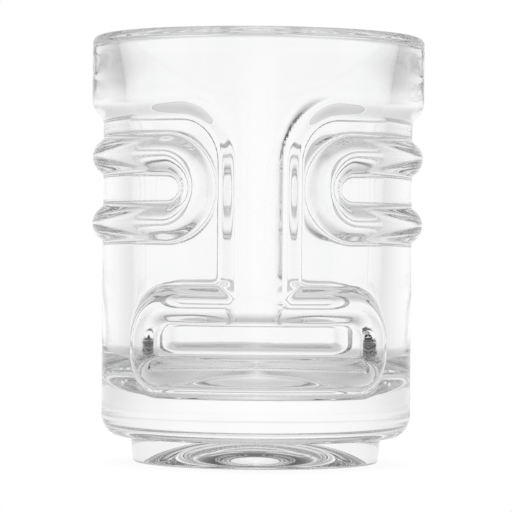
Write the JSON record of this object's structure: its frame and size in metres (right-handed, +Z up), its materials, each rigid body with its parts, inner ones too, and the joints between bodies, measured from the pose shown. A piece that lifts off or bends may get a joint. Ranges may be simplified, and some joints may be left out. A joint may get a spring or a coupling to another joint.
{
  "type": "tiki mug",
  "caption": "Straight-sided clear glass tiki mug: a thick-walled cup on a turned foot, with a stylised face in raised ridges on the front and the back.",
  "frame": {"origin": "the middle of the foot, on the surface that the mug stands on", "axes": "+Z up along the axis the mug is turned about; the face that the picture shows looks along -Y; +X is the viewer's right"},
  "size_m": [0.09, 0.09, 0.115],
  "materials": {
    "clear_glass": "clear, colourless, fire-polished press-moulded glass"
  },
  "bodies": {
    "root": {"mug_body": "clear_glass"}
  },
  "joints": []
}
